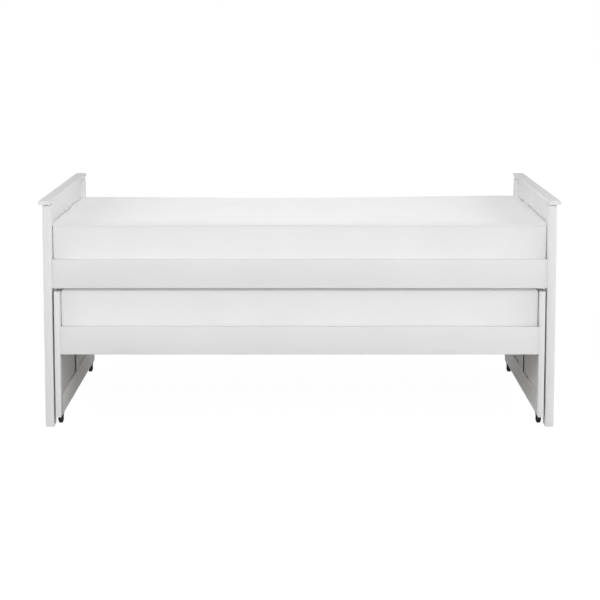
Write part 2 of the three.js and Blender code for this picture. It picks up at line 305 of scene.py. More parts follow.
def mattress_fabric():
    """White stretch-knit ticking, faintly warm, with a fine weave and a soft sheen."""
    shader = Shader(
        "mattress_fabric",
        Roughness=0.9,
        Specular_IOR_Level=0.2,
        Sheen_Weight=0.7,
        Sheen_Roughness=0.5,
    )
    clouds = shader.noise(shader.place, scale=5.0, detail=5.0)
    slubs = shader.noise(shader.scaled((60.0, 340.0, 340.0)), detail=2.0)
    mixed = shader.total(shader.math("MULTIPLY", clouds, 0.7), shader.math("MULTIPLY", slubs, 0.3))
    colour = shader.tones(mixed, (0.35, (0.855, 0.843, 0.848)), (0.65, (0.885, 0.875, 0.880)))
    threads = shader.bump(weave(shader, 1.6 * MM), 0.10 * MM)
    normal = shader.bump(slubs, 0.12 * MM, under=threads)
    return shader.finish(colour, normal=normal)


def binding_fabric():
    """The woven tape that binds the mattress edges."""
    shader = Shader("binding_fabric", Roughness=0.8, Specular_IOR_Level=0.25, Sheen_Weight=0.5)
    ribs = weave(shader, 2.2 * MM)
    soil = shader.noise(shader.place, scale=30.0, detail=3.0)
    colour = shader.tones(soil, (0.3, (0.86, 0.85, 0.855)), (0.7, (0.89, 0.88, 0.885)))
    return shader.finish(colour, normal=shader.bump(ribs, 0.25 * MM))


def slat_wood():
    """Sanded spruce, with growth rings drawn out along the slat and a few darker streaks."""
    shader = Shader("slat_wood", Specular_IOR_Level=0.3)
    drawn = shader.scaled((26.0, 1.6, 26.0))
    rings = shader.add("ShaderNodeTexWave", wave_type="BANDS", bands_direction="X")
    shader.feed(rings, "Vector", drawn)
    shader.feed(rings, "Scale", 0.9)
    shader.feed(rings, "Distortion", 7.0)
    shader.feed(rings, "Detail", 3.0)
    fibres = shader.noise(shader.scaled((520.0, 9.0, 520.0)), detail=3.0)
    pattern = shader.total(
        shader.math("MULTIPLY", rings.outputs[1], 0.6), shader.math("MULTIPLY", fibres, 0.4)
    )
    colour = shader.tones(
        pattern,
        (0.15, (0.74, 0.66, 0.54)),
        (0.55, (0.67, 0.58, 0.46)),
        (0.90, (0.54, 0.44, 0.33)),
    )
    roughness = shader.between(fibres, 0.55, 0.75)
    return shader.finish(colour, roughness, shader.bump(fibres, 0.12 * MM))


def webbing():
    """Ribbed polyester strap."""
    shader = Shader("webbing", Roughness=0.75, Specular_IOR_Level=0.3, Sheen_Weight=0.15)
    ribs = shader.add("ShaderNodeTexWave", wave_type="BANDS", bands_direction="Y")
    shader.feed(ribs, "Vector", shader.place)
    shader.feed(ribs, "Scale", 160.0)
    shade = shader.noise(shader.place, scale=60.0, detail=3.0)
    colour = shader.tones(shade, (0.3, (0.58, 0.57, 0.54)), (0.7, (0.68, 0.67, 0.64)))
    return shader.finish(colour, normal=shader.bump(ribs.outputs[1], 0.3 * MM))


def black_plastic():
    """Moulded nylon, with a fine spark-eroded grain and scuffs on the tread."""
    shader = Shader("black_plastic", Specular_IOR_Level=0.5)
    grain = shader.noise(shader.place, scale=1800.0)
    scuffs = shader.noise(shader.place, scale=140.0, detail=4.0)
    colour = shader.tones(scuffs, (0.45, (0.008, 0.008, 0.009)), (0.85, (0.022, 0.022, 0.022)))
    roughness = shader.between(scuffs, 0.30, 0.55)
    return shader.finish(colour, roughness, shader.bump(grain, 0.04 * MM))


def black_steel():
    """Pressed steel with a black stove enamel, slightly orange-peeled."""
    shader = Shader("black_steel", Metallic=0.6, Specular_IOR_Level=0.5)
    peel = shader.noise(shader.place, scale=900.0)
    wear = shader.noise(shader.place, scale=120.0, detail=5.0)
    colour = shader.tones(wear, (0.5, (0.012, 0.012, 0.013)), (0.8, (0.035, 0.034, 0.033)))
    roughness = shader.between(wear, 0.32, 0.50)
    return shader.finish(colour, roughness, shader.bump(peel, 0.05 * MM))


def axle_steel():
    """Zinc-plated steel, with fine turned lines."""
    shader = Shader("axle_steel", Metallic=1.0)
    lines = shader.noise(shader.scaled((3000.0, 200.0, 200.0)))
    bloom = shader.noise(shader.place, scale=400.0, detail=3.0)
    colour = shader.tones(bloom, (0.3, (0.46, 0.47, 0.48)), (0.7, (0.62, 0.62, 0.61)))
    roughness = shader.between(bloom, 0.25, 0.42)
    return shader.finish(colour, roughness, shader.bump(lines, 0.03 * MM))


# ---- mesh helpers --------------------------------------------------------------------
class Form:
    """Several closed shapes gathered into one mesh."""

    def __init__(self):
        self.points = []
        self.faces = []

    def add(self, points, faces):
        start = len(self.points)
        self.points += [tuple(point) for point in points]
        self.faces += [[start + corner for corner in face] for face in faces]

    def piece(self, name, material, body, slot=None):
        """The mesh as a smooth-shaded object that rides on a body."""
        mesh = bpy.data.meshes.new(name)
        mesh.from_pydata(self.points, [], self.faces)
        tidy(mesh)
        mesh.materials.append(material)
        piece = bpy.data.objects.new(name, mesh)
        bpy.context.scene.collection.objects.link(piece)
        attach(piece, body)
        return piece


def tidy(mesh):
    """Joins doubled points and turns the faces outwards."""
    shape = bmesh.new()
    shape.from_mesh(mesh)
    bmesh.ops.remove_doubles(shape, verts=shape.verts, dist=DOUBLED)
    bmesh.ops.recalc_face_normals(shape, faces=shape.faces)
    for face in shape.faces:
        face.smooth = True
    shape.to_mesh(mesh)
    shape.free()


def box_shape(low, high, edge, steps=2):
    """Points and faces of a box with rounded edges."""
    shape = bmesh.new()
    bmesh.ops.create_cube(shape, size=1.0)
    low, high = Vector(low), Vector(high)
    size, centre = high - low, (high + low) / 2
    for point in shape.verts:
        point.co = Vector(a * b for a, b in zip(point.co, size)) + centre
    bmesh.ops.bevel(
        shape, geom=shape.edges[:], offset=edge, segments=steps, profile=0.5, affect="EDGES"
    )
    shape.verts.index_update()
    points = [point.co.copy() for point in shape.verts]
    faces = [[point.index for point in face.verts] for face in shape.faces]
    shape.free()
    return points, faces


def turned_shape(outline, centre, steps, axis="x", flip=1):
    """A closed outline of (radius, along) pairs, turned about the centre's x or z axis."""
    points, faces = [], []
    count = len(outline)
    for step in range(steps):
        angle = 2 * math.pi * step / steps
        for radius, distance in outline:
            across, up = radius * math.cos(angle), radius * math.sin(angle)
            if axis == "x":
                offset = (flip * distance, across, up)
            else:
                offset = (across, up, flip * distance)
            points.append(Vector(centre) + Vector(offset))
    for step in range(steps):
        here, after = step * count, (step + 1) % steps * count
        for i in range(count):
            j = (i + 1) % count
            faces.append([here + i, here + j, after + j, after + i])
    return points, faces


def swept_ring(path, outwards, half_width, half_height, sides):
    """A closed oval band along a ring of points, given the way out from the ring at each."""
    points, faces = [], []
    count = len(path)
    for centre, out in zip(path, outwards):
        for side in range(sides):
            angle = 2 * math.pi * side / sides
            across = half_width * math.cos(angle) * Vector(out)
            up = Vector((0, 0, half_height * math.sin(angle)))
            points.append(Vector(centre) + across + up)
    for i in range(count):
        here, after = i * sides, (i + 1) % count * sides
        for side in range(sides):
            other = (side + 1) % sides
            faces.append([here + side, after + side, after + other, here + other])
    return points, faces


def positions(mesh):
    flat = np.zeros(len(mesh.vertices) * 3, np.float32)
    mesh.vertices.foreach_get("co", flat)
    return flat.reshape(-1, 3).astype(float)


def normals(mesh):
    flat = np.zeros(len(mesh.vertices) * 3, np.float32)
    mesh.vertices.foreach_get("normal", flat)
    return flat.reshape(-1, 3).astype(float)


def move_points(mesh, places):
    mesh.vertices.foreach_set("co", places.astype(np.float32).ravel())
    mesh.update()


def apply_modifiers(piece):
    """Replaces the piece's mesh by what its modifiers make of it."""
    graph = bpy.context.evaluated_depsgraph_get()
    made = bpy.data.meshes.new_from_object(piece.evaluated_get(graph))
    piece.modifiers.clear()
    piece.data = made


def smoothstep(value, start, end):
    share = np.clip((value - start) / (end - start), 0.0, 1.0)
    return share * share * (3.0 - 2.0 * share)


def hump(value, centre, reach):
    return np.exp(-(((value - centre) / reach) ** 2))


# ---- mattresses ----------------------------------------------------------------------
class Outline:
    """A rounded rectangle in plan, centred on the origin."""

    def __init__(self, half_x, half_y, corner):
        self.half = (half_x, half_y)
        self.corner = corner
        straight = [2 * (half_y - corner), 2 * (half_x - corner)] * 2
        self.spots, self.outwards, self.along = [], [], []
        travelled = 0.0
        for turn in range(4):
            angle = turn * math.pi / 2
            out = np.array([math.cos(angle), math.sin(angle)])
            forward = np.array([-out[1], out[0]])
            across = self.half[turn % 2]
            run = straight[turn]
            steps = round(run / OUTLINE_STEP)
            for i in range(steps):
                distance = run * i / steps
                self.keep(out * across + forward * (distance - run / 2), out, travelled + distance)
            travelled += run
            bend = math.pi / 2 * corner
            steps = CORNER_STEPS
            centre = out * (across - corner) + forward * run / 2
            for i in range(steps):
                swing = angle + math.pi / 2 * i / steps
                way = np.array([math.cos(swing), math.sin(swing)])
                self.keep(centre + way * corner, way, travelled + bend * i / steps)
            travelled += bend

    def keep(self, spot, out, travelled):
        self.spots.append(spot)
        self.outwards.append(out)
        self.along.append(travelled)

    def ring(self, inset, height):
        return [(*(spot - out * inset), height) for spot, out in zip(self.spots, self.outwards)]

    def outside(self, x, y):
        """Signed distance from the outline, negative inside it."""
        dx = np.abs(x) - (self.half[0] - self.corner)
        dy = np.abs(y) - (self.half[1] - self.corner)
        beyond = np.hypot(np.maximum(dx, 0), np.maximum(dy, 0))
        return beyond + np.minimum(np.maximum(dx, dy), 0) - self.corner

    def way_out(self, x, y):
        """The direction in plan from each point straight towards the outline."""
        dx = np.abs(x) - (self.half[0] - self.corner)
        dy = np.abs(y) - (self.half[1] - self.corner)
        at_corner = (dx > 0) & (dy > 0)
        out_x = np.where(at_corner, dx, dx >= dy)
        out_y = np.where(at_corner, dy, dx < dy)
        length = np.hypot(out_x, out_y)
        return np.sign(x) * out_x / length, np.sign(y) * out_y / length


def seam_height(bottom, top, high_seam):
    """Height of the line where the binding tape is sewn on."""
    return top - TAPE_FROM_EDGE if high_seam else bottom + TAPE_FROM_EDGE


def grid_rows(low, high):
    """Places across a span, close together at its ends and evenly spaced between them."""
    inset = EDGE_ROWS[-1]
    run = high - low - 2 * inset
    steps = round(run / GRID_STEP)
    even = [low + inset + run * i / steps for i in range(1, steps)]
    return [low + row for row in EDGE_ROWS] + even + [high - row for row in reversed(EDGE_ROWS)]


def grid_box(spans):
    """Points and faces of a box whose faces are divided at the given places on each axis."""
    points, faces, numbers = [], [], {}

    def number(place):
        if place not in numbers:
            numbers[place] = len(points)
            points.append([spans[axis][place[axis]] for axis in range(3)])
        return numbers[place]

    for axis in range(3):
        first, second = (axis + 1) % 3, (axis + 2) % 3
        for end in (0, len(spans[axis]) - 1):
            for i in range(len(spans[first]) - 1):
                for j in range(len(spans[second]) - 1):
                    face = []
                    for across, up in ((0, 0), (1, 0), (1, 1), (0, 1)):
                        place = [end, end, end]
                        place[first], place[second] = i + across, j + up
                        face.append(number(tuple(place)))
                    faces.append(face)
    return np.array(points), faces


def rounded(u, v):
    """Moves places in a unit square so that its far corner becomes a quarter circle."""
    return u * np.sqrt(1 - v * v / 2), v * np.sqrt(1 - u * u / 2)


def mattress_block(name, outline, bottom, top):
    """The plain stitched cover before it is filled: a slab with rounded edges."""
    half_x, half_y = outline.half
    spans = [grid_rows(-half_x, half_x), grid_rows(-half_y, half_y), grid_rows(bottom, top)]
    places, faces = grid_box(spans)
    x, y, z = places.T
    inner_x, inner_y = half_x - MATTRESS_CORNER, half_y - MATTRESS_CORNER
    u, v = (np.abs(x) - inner_x) / MATTRESS_CORNER, (np.abs(y) - inner_y) / MATTRESS_CORNER
    new_u, new_v = rounded(np.clip(u, 0, 1), np.clip(v, 0, 1))
    corner = (u > 0) & (v > 0)
    x = np.where(corner, np.sign(x) * (inner_x + new_u * MATTRESS_CORNER), x)
    y = np.where(corner, np.sign(y) * (inner_y + new_v * MATTRESS_CORNER), y)
    middle = (bottom + top) / 2
    inset = -outline.outside(x, y)
    depth = (top - bottom) / 2 - np.abs(z - middle)
    u, v = 1 - inset / MATTRESS_EDGE, 1 - depth / MATTRESS_EDGE
    new_u, new_v = rounded(np.clip(u, 0, 1), np.clip(v, 0, 1))
    edge = (u > 0) & (v > 0)
    out_x, out_y = outline.way_out(x, y)
    step = np.where(edge, (new_u - u) * MATTRESS_EDGE, 0.0)
    rise = np.where(edge, (new_v - v) * MATTRESS_EDGE, 0.0)
    mesh = bpy.data.meshes.new(name)
    points = np.column_stack([x + out_x * step, y + out_y * step, z + np.sign(z - middle) * rise])
    mesh.from_pydata(points.tolist(), [], faces)
    tidy(mesh)
    piece = bpy.data.objects.new(name, mesh)
    bpy.context.scene.collection.objects.link(piece)
    return piece


def seam_distance(places, outline, bottom, top):
    """Each point's distance from the nearer seam."""
    outside = outline.outside(places[:, 0], places[:, 1])
    nearest = np.full(len(places), np.inf)
    for high_seam in (False, True):
        height = seam_height(bottom, top, high_seam)
        nearest = np.minimum(nearest, np.hypot(outside, places[:, 2] - height))
    return nearest


def fill_cover(piece, outline, bottom, top, top_swell, side_swell):
    """Blows the cover up as cloth under pressure, held at its seams and where it rests."""
    before = positions(piece.data)
    ways = normals(piece.data)
    held = 1.0 - smoothstep(seam_distance(before, outline, bottom, top), *SEAM_HOLD)
    held[before[:, 2] < bottom + MATTRESS_EDGE / 2] = 1.0  # it lies flat on the slats
    group = piece.vertex_groups.new(name="held")
    for index, weight in enumerate(held):
        group.add([index], float(weight), "REPLACE")
    cloth = piece.modifiers.new("filling", "CLOTH")
    cloth.settings.vertex_group_mass = group.name
    cloth.settings.use_pressure = True
    cloth.settings.uniform_pressure_force = CLOTH_PRESSURE
    cloth.settings.effector_weights.gravity = 0
    cloth.settings.bending_stiffness = CLOTH_STIFFNESS
    cloth.collision_settings.use_collision = False
    cloth.point_cache.frame_end = CLOTH_FRAMES
    for number in range(1, CLOTH_FRAMES + 1):
        bpy.context.scene.frame_set(number)
    graph = bpy.context.evaluated_depsgraph_get()
    after = positions(piece.evaluated_get(graph).data)
    piece.modifiers.clear()
    bpy.context.scene.frame_set(1)
    move = after - before
    length = np.linalg.norm(move, axis=1)
    most = side_swell + (top_swell - side_swell) * np.clip(ways[:, 2], 0, 1)
    capped = most * np.tanh(length / most)
    move *= (capped / np.maximum(length, 1e-9))[:, None]
    move_points(piece.data, press_ends(before + move, outline))


def press_ends(places, outline):
    """Keeps the ends of the cover clear of the posts or legs that they rest against."""
    stop = outline.half[0] + END_SQUEEZE
    places[:, 0] = np.clip(places[:, 0], -stop, stop)
    return places


def press_sides(places, rail):
    """Keeps the cover clear of the side rails, up to the rails' tops."""
    _, high = rail
    stop = -high.y - RAIL_CLEARANCE
    beside = places[:, 2] < high.z - BOARD_EDGE
    places[beside, 1] = np.clip(places[beside, 1], -stop, stop)
    return places


def settle(places, outline, feel, amount=1.0):
    """Moves places as the filling does: a top that has been slept on, and rounded ends."""
    x, y = places[:, 0], places[:, 1]
    place = x / outline.half[0]
    to_rear = 0.5 + 0.5 * y / outline.half[1]
    fuller = RIGHT_LIFT * smoothstep(place, LIFT_FROM, 1.0)
    slept_on = MIDDLE_SINK * hump(place, SINK_CENTRE, SINK_REACH)
    lift = feel["sinking"] * to_rear * (fuller - slept_on - REAR_SINK)
    from_end = outline.half[0] - np.abs(x)
    margin = outline.half[1] - np.abs(y) - POST_REACH
    share = smoothstep(margin, *BETWEEN_POSTS) if feel["between_posts"] else 1.0
    drop = feel["end_drop"] * (1.0 - np.clip(from_end / feel["end_reach"], 0.0, 1.0)) ** 2
    bulge = feel["end_bulge"] * (1.0 - smoothstep(from_end, 0.0, END_BULGE_REACH))
    places[:, 0] += np.sign(x) * share * bulge
    places[:, 2] += amount * (lift - share * drop)


def seam_push(places, from_seam, outline, bottom, top):
    """How far the seams push each point out: their valleys and the puckers beside them."""
    seams = []
    for high_seam in (False, True):
        height = seam_height(bottom, top, high_seam)
        seams += [(*point, run) for point, run in zip(outline.ring(0.0, height), outline.along)]
    tree = KDTree(len(seams))
    for index, seam in enumerate(seams):
        tree.insert(seam[:3], index)
    tree.balance()
    push = np.zeros(len(places))
    for index in np.nonzero(from_seam < PUCKER_LIMIT)[0]:
        _, nearest, distance = tree.find(places[index])
        _, _, height, travelled = seams[nearest]
        spot = Vector((travelled * WANDER_WAVES[0], height * WANDER_WAVES[1], 0.0))
        turn = 2 * math.pi * travelled / PUCKER_LENGTH + WANDER_TURN * noise.noise(spot)
        uneven = 0.5 + noise.noise(Vector((travelled * UNEVEN_WAVES, UNEVEN_ROW, height)))
        valley = SEAM_VALLEY_DEPTH * math.exp(-((distance / SEAM_VALLEY_REACH) ** 2))
        pucker = PUCKER_DEPTH * uneven * math.sin(turn) * math.exp(-distance / PUCKER_REACH)
        push[index] = pucker - valley
    return push


def shape_cover(piece, outline, bottom, top, rail, feel):
    """Adds what the seams, the rail and the filling do to the cover."""
    places, ways = positions(piece.data), normals(piece.data)
    from_seam = seam_distance(places, outline, bottom, top)
    loose = smoothstep(from_seam, 0.0, LOOSE_FROM_SEAM)
    push = seam_push(places, from_seam, outline, bottom, top)
    for index, place in enumerate(places):
        if place[2] > bottom + MATTRESS_EDGE:
            drape = sum(noise.noise(Vector(place) * waves) * share for waves, share in DRAPE_LAYERS)
            push[index] += feel["liveliness"] * drape * loose[index]
    above = places[:, 2] - rail[1].z
    sideways = np.sign(places[:, 1]) * np.abs(ways[:, 1]) ** 2
    lean = RAIL_BULGE * hump(above, RAIL_BULGE_ABOVE, RAIL_BULGE_REACH)
    lean -= WAIST_DEPTH * hump(above, WAIST_ABOVE_RAIL, WAIST_REACH)
    places += ways * push[:, None]
    places[:, 1] += sideways * lean
    press_ends(places, outline)
    press_sides(places, rail)
    settle(places, outline, feel, smoothstep(places[:, 2], (bottom + top) / 2, top))
    move_points(piece.data, places)


def binding(name, outline, bottom, top, body, feel, material):
    """The flat woven tapes that bind the mattress's top and bottom edges."""
    form = Form()
    for high_seam in (False, True):
        ring = np.array(outline.ring(0.0, seam_height(bottom, top, high_seam)))
        settle(ring, outline, feel, float(high_seam))
        outwards = [(*out, 0.0) for out in outline.outwards]
        form.add(*swept_ring(ring, outwards, TAPE_PROUD, TAPE_HALF_HEIGHT, TAPE_SIDES))
    return form.piece(name, material, body, "mattress_fabric")


def mattress(bed, feel, materials):
    """A filled mattress with bound edges in place of the plain one."""
    node = f"{bed}_mattress"
    low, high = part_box(node)
    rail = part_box(f"{bed}_front_side_rail")
    bottom, top = low.z, high.z + feel["lift"]
    inset = feel["side_swell"] / 2
    outline = Outline(high.x, high.y - inset, MATTRESS_CORNER)
    piece = mattress_block(f"{bed}_mattress_cover", outline, bottom, top)
    fill_cover(piece, outline, bottom, top, feel["top_swell"], feel["side_swell"])
    smooth = piece.modifiers.new("smooth", "SUBSURF")
    smooth.levels = smooth.render_levels = 1
    apply_modifiers(piece)
    shape_cover(piece, outline, bottom, top, rail, feel)
    piece.data.materials.clear()
    piece.data.materials.append(materials["mattress_fabric"])
    piece.data.shade_smooth()
    body = f"{bed}_bed"
    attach(piece, body)
    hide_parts(node)
    binding(f"{bed}_mattress_binding", outline, bottom, top, body, feel, materials["binding"])


# ---- painted boards ------------------------------------------------------------------
def smooth_group():
    """A small node group that shades a board's faces smooth before its edges are eased."""
    group = bpy.data.node_groups.new("smooth_faces", "GeometryNodeTree")
    group.interface.new_socket("Geometry", in_out="INPUT", socket_type="NodeSocketGeometry")
    group.interface.new_socket("Geometry", in_out="OUTPUT", socket_type="NodeSocketGeometry")
    start = group.nodes.new("NodeGroupInput")
    shade = group.nodes.new("GeometryNodeSetShadeSmooth")
    end = group.nodes.new("NodeGroupOutput")
    group.links.new(start.outputs[0], shade.inputs["Geometry"])
    group.links.new(shade.outputs[0], end.inputs[0])
    return group


def ease_edges(piece, radius, steps, smooth, edge_slot=0):
    """Rounds a node's sharp edges with modifiers, and leaves its own mesh as it is."""
    weld = piece.modifiers.new("weld", "WELD")
    weld.merge_threshold = 0.01 * MM
    shade = piece.modifiers.new("smooth", "NODES")
    shade.node_group = smooth
    bevel = piece.modifiers.new("ease", "BEVEL")
    bevel.width = radius
    bevel.segments = steps
    bevel.limit_method = "ANGLE"
    bevel.angle_limit = SHARP_FROM
    bevel.harden_normals = True
    bevel.material = edge_slot


def longest_axis(node):
    low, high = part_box(node)
    size = high - low
    return "xyz"[max(range(3), key=lambda axis: size[axis])]


def dress(node, *slots):
    piece = frame["nodes"][node]
    piece.data.materials.clear()
    for material in slots:
        piece.data.materials.append(material)
    return piece


def painted_boards(materials, smooth):
    slots = {row["node"]: row["material_slot"] for row in frame["record"]["subparts"]}
    for node in frame["nodes"]:
        if slots[node] == "painted_wood":
            paint = materials[f"painted_wood_{longest_axis(node)}"]
            # the eased edges take the edge material, whose lighter tone is a painted highlight and
            # whose warmer tone is thin paint
            piece = dress(node, paint, materials["edge_highlight_and_wear"])
            ease_edges(piece, BOARD_EDGE, BOARD_EDGE_STEPS, smooth, edge_slot=1)


# ---- slatted bases -------------------------------------------------------------------
SLAT_COUNT = 13
SLAT_WIDTH = 70 * MM
SLAT_THICKNESS = 14 * MM
SLAT_EDGE = 2.5 * MM
SLAT_EDGE_STEPS = 3
STRAP_FROM_CENTRE = 455 * MM
STRAP_WIDTH = 25 * MM
STRAP_THICKNESS = 1.1 * MM
STRAP_SAG = 4 * MM
STRAP_STEPS_PER_GAP = 8
STAPLE_CROWN = 11 * MM
STAPLE_WIRE = 1.1 * MM
STAPLE_EDGE = 0.35 * MM
STAPLE_BITE = 0.2 * MM  # into the strap
STAPLE_OFFSET = 7 * MM


def slatted_base(bed, materials):
    """Single slats with two webbing straps stapled under them, in place of the plain base."""
    node = f"{bed}_slat_base"
    body = f"{bed}_bed"
    low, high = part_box(node)
    top = high.z
    bottom = top - SLAT_THICKNESS
    run = high.x - low.x - SLAT_WIDTH
    centres = [-run / 2 + run * i / (SLAT_COUNT - 1) for i in range(SLAT_COUNT)]
    for number, centre in enumerate(centres, start=1):
        form = Form()
        corner = (centre - SLAT_WIDTH / 2, low.y, bottom)
        far_corner = (centre + SLAT_WIDTH / 2, high.y, top)
        form.add(*box_shape(corner, far_corner, SLAT_EDGE, SLAT_EDGE_STEPS))
        slat = form.piece(f"{bed}_bed_slat_{number}", materials["slat_wood"], body, "slat_wood")
        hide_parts(node)
    for face, side in FACES.items():
        strap(f"{bed}_{face}_webbing", body, side * STRAP_FROM_CENTRE, centres, bottom, materials)


def strap(name, body, y, centres, bottom, materials):
    """A strap that is flat under each slat and sags a little between them."""
    form, staples = Form(), Form()
    path = []
    for here, after in zip(centres, centres[1:]):
        start, end = here + SLAT_WIDTH / 2, after - SLAT_WIDTH / 2
        for step in range(STRAP_STEPS_PER_GAP + 1):
            share = step / STRAP_STEPS_PER_GAP
            sag = STRAP_SAG * math.sin(math.pi * share) ** 2
            path.append((start + (end - start) * share, bottom - sag))
    tail = SLAT_WIDTH / 3
    path = [(centres[0] - tail, bottom), *path, (centres[-1] + tail, bottom)]
    half, points, faces = STRAP_WIDTH / 2, [], []
    for x, z in path:
        under = z - STRAP_THICKNESS
        points += [(x, y - half, z), (x, y + half, z), (x, y + half, under), (x, y - half, under)]
    for i in range(len(path) - 1):
        for k in range(4):
            a, b = 4 * i + k, 4 * i + (k + 1) % 4
            faces.append([a, b, b + 4, a + 4])
    last = 4 * (len(path) - 1)
    faces += [[3, 2, 1, 0], [last, last + 1, last + 2, last + 3]]
    form.add(points, faces)
    form.piece(name, materials["webbing"], body)
    for centre in centres:
        for shift in (-STAPLE_OFFSET, STAPLE_OFFSET):
            x = centre + shift
            top = bottom - STRAP_THICKNESS + STAPLE_BITE
            low = (x - STAPLE_WIRE / 2, y - STAPLE_CROWN / 2, top - STAPLE_WIRE)
            high = (x + STAPLE_WIRE / 2, y + STAPLE_CROWN / 2, top)
            staples.add(*box_shape(low, high, STAPLE_EDGE))
    staples.piece(name.replace("webbing", "staples"), materials["axle_steel"], body, "axle_steel")


# ---- casters -------------------------------------------------------------------------
WHEEL_STEPS = 48
WHEEL_RIBS = 6
HUB_RADIUS = 5.2 * MM
HUB_BORE = 2.8 * MM
RIM_INNER_RADIUS = 11.2 * MM
WEB_HALF = 2.0 * MM  # half the thickness of the web between the hub and the rim
TREAD_SHOULDER = 4.0 * MM
RIB_THICKNESS = 1.4 * MM
RIB_EDGE = 0.3 * MM
RIB_BELOW_FACE = 1.2 * MM  # the ribs stop short of the wheel's faces,
RIB_INTO_WEB = 0.4 * MM  # and sink into the web, the hub and the rim
RIB_INTO_HUB = 0.6 * MM
RIB_INTO_RIM = 0.2 * MM
WEB_FILLET = 0.4 * MM
RIM_SLOPE = 0.8 * MM
RIM_LIP = 0.6 * MM
FORK_EDGE = 0.4 * MM
AXLE_EDGE = 0.3 * MM
CASTER_EDGE_STEPS = 2
PLATE_THICKNESS = 2.0 * MM
SCREW_RADIUS = 3.0 * MM
SCREW_HEIGHT = 1.3 * MM
SCREW_FROM_WHEEL = 20.5 * MM
SCREW_STEPS = 20
HEAD_STRAIGHT = 0.35  # share of a screw head's height below its rounding
HEAD_TURN = 0.8  # share of a quarter turn that the rounding takes
HEAD_RECESS = ((0.28, 1.0), (0.14, 0.55), (0.0, 0.5))  # shares of its radius and height


def wheel_outline(radius, half):
    """Half section of a moulded wheel: hub, web, and a rim with rounded shoulders."""
    right = [(HUB_BORE, half), (HUB_RADIUS, half), (HUB_RADIUS + WEB_FILLET, WEB_HALF)]
    right += [(RIM_INNER_RADIUS - WEB_FILLET, WEB_HALF), (RIM_INNER_RADIUS, half - RIM_SLOPE)]
    right.append((RIM_INNER_RADIUS + RIM_LIP, half))
    for step in range(7):
        angle = math.radians(90 - 15 * step)
        across = radius - TREAD_SHOULDER + TREAD_SHOULDER * math.cos(angle)
        right.append((across, half - TREAD_SHOULDER + TREAD_SHOULDER * math.sin(angle)))
    left = [(across, -distance) for across, distance in reversed(right)]
    return right + left


def wheel(end, face, materials):
    node = f"caster_{end}_{face}_wheel"
    low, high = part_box(node)
    centre, half = (low + high) / 2, (high.x - low.x) / 2
    radius = (high.z - low.z) / 2
    form = Form()
    form.add(*turned_shape(wheel_outline(radius, half), centre, WHEEL_STEPS))
    for number in range(WHEEL_RIBS):
        angle = 2 * math.pi * number / WHEEL_RIBS
        for side in (-1, 1):
            spans = [side * (WEB_HALF - RIB_INTO_WEB), side * (half - RIB_BELOW_FACE)]
            rib, faces = box_shape(
                (min(spans), HUB_RADIUS - RIB_INTO_HUB, -RIB_THICKNESS / 2),
                (max(spans), RIM_INNER_RADIUS + RIB_INTO_RIM, RIB_THICKNESS / 2),
                RIB_EDGE,
            )
            turned = []
            for x, y, z in rib:
                across = y * math.cos(angle) - z * math.sin(angle)
                up = y * math.sin(angle) + z * math.cos(angle)
                turned.append(centre + Vector((x, across, up)))
            form.add(turned, faces)
    body = f"{end}_{face}_wheel"
    piece = form.piece(node + "_moulded", materials["black_plastic"], body, "black_plastic")
    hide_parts(node)


def pan_head(centre, radius, height):
    """A pan-head screw that hangs head down, with a cross recess left as a small dish."""
    outline = [(0, 0), (radius, 0), (radius, -HEAD_STRAIGHT * height)]
    for step in range(1, 5):
        angle = math.radians(22.5 * step)
        depth = HEAD_STRAIGHT + (1 - HEAD_STRAIGHT) * math.sin(angle)
        outline.append((radius * math.cos(angle * HEAD_TURN), -height * depth))
    outline += [(radius * across, -height * depth) for across, depth in HEAD_RECESS]
    return turned_shape(outline, centre, SCREW_STEPS, axis="z")


def caster(end, face, materials, smooth):
    """A caster with a moulded wheel, and screws in the fork's plate."""
    wheel(end, face, materials)
    fork = dress(f"caster_{end}_{face}_fork", materials["black_steel"])
    ease_edges(fork, FORK_EDGE, CASTER_EDGE_STEPS, smooth)
    axle = dress(f"caster_{end}_{face}_axle", materials["axle_steel"])
    ease_edges(axle, AXLE_EDGE, CASTER_EDGE_STEPS, smooth)
    low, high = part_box(f"caster_{end}_{face}_fork")
    middle = (low + high) / 2
    plate_bottom = high.z - PLATE_THICKNESS
    form = Form()
    for side in (-1, 1):
        head = (middle.x, middle.y + side * SCREW_FROM_WHEEL, plate_bottom)
        form.add(*pan_head(head, SCREW_RADIUS, SCREW_HEIGHT))
    form.piece(f"caster_{end}_{face}_screws", materials["axle_steel"], "lower_bed", "axle_steel")


# ---- bolt caps -----------------------------------------------------------------------
BOLT_CAP_RADIUS = 7.5 * MM
BOLT_CAP_HEIGHT = 1.6 * MM
BOLT_CAP_STEPS = 28
BOLT_CAP_STRAIGHT = 0.25  # share of the cap's height below its rounding
BOLT_CAP_ROUNDING = 0.25  # share of its radius that the rounding takes
BOLT_FROM_RAIL_EDGE = 28 * MM


def cap_outline(radius, height):
    """Half section of a low round cap."""
    outline = [(0, 0), (radius, 0), (radius, BOLT_CAP_STRAIGHT * height)]
    for step in range(1, 7):
        angle = math.radians(15 * step)
        across = 1 - BOLT_CAP_ROUNDING + BOLT_CAP_ROUNDING * math.cos(angle)
        up = BOLT_CAP_STRAIGHT + (1 - BOLT_CAP_STRAIGHT) * math.sin(angle)
        outline.append((radius * across, height * up))
    outline.append((0, height))
    return outline


